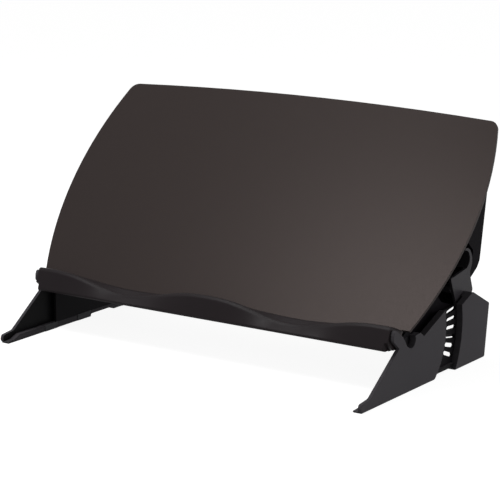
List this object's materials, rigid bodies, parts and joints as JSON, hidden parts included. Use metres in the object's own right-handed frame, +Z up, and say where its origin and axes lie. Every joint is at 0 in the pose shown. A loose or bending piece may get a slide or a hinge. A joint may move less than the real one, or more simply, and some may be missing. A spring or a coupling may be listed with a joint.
{
  "type": "document holder",
  "caption": "Wide desk document holder: a tilting board with a wavy paper ledge between wedge brackets, set by squeeze latches in radial slits.",
  "frame": {"origin": "centre of the footprint box on the desk, under the middle of the board", "axes": "+X to the reader's right along the board, +Y away from the reader, +Z up"},
  "size_m": [0.47, 0.2488, 0.2347],
  "materials": {
    "bracket_plastic": "fine grained moulding",
    "ratchet_plastic": "smooth black moulding",
    "screw_steel": "zinc plated",
    "washer_plastic": "natural nylon",
    "foot_rubber": "soft rubber",
    "rod_steel": "drawn bar",
    "board_plastic": "fine grained moulding",
    "ledge_plastic": "satin moulding",
    "arm_plastic": "smooth black moulding",
    "rail_steel": "black powder coat",
    "latch_plastic": "satin moulding"
  },
  "bodies": {
    "root": {"left_bracket": "bracket_plastic", "right_bracket": "bracket_plastic", "left_ratchet_plate": "ratchet_plastic", "right_ratchet_plate": "ratchet_plastic", "left_plate_rivets": "screw_steel", "right_plate_rivets": "screw_steel", "left_thrust_washer": "washer_plastic", "right_thrust_washer": "washer_plastic", "left_front_foot": "foot_rubber", "right_front_foot": "foot_rubber", "left_rear_foot": "foot_rubber", "right_rear_foot": "foot_rubber", "pivot_rod": "rod_steel"},
    "platform": {"front_board": "board_plastic", "ledge": "ledge_plastic", "ledge_screws": "screw_steel", "lower_rail": "rail_steel", "upper_rail": "rail_steel", "left_arm": "arm_plastic", "right_arm": "arm_plastic", "left_frame_screw": "screw_steel", "right_frame_screw": "screw_steel", "left_latch_pin": "rod_steel", "right_latch_pin": "rod_steel"},
    "left_latch": {"left_latch": "latch_plastic"},
    "right_latch": {"right_latch": "latch_plastic"}
  },
  "joints": [
    {"name": "platform_tilt", "type": "hinge", "parent": "root", "child": "platform", "pos_m": [0, -0.03611, 0.046], "axis": [1, 0, 0], "range_deg": [-11.72, 17.58]},
    {"name": "left_latch_squeeze", "type": "hinge", "parent": "platform", "child": "left_latch", "pos_m": [-0.19, 0.05825, 0.07518], "axis": [1, 0, 0], "range_deg": [0, 17], "stiffness_Nm_per_rad": 0.08, "springref_deg": -8.59},
    {"name": "right_latch_squeeze", "type": "hinge", "parent": "platform", "child": "right_latch", "pos_m": [0.19, 0.05825, 0.07518], "axis": [1, 0, 0], "range_deg": [0, 17], "stiffness_Nm_per_rad": 0.08, "springref_deg": -8.59}
  ]
}
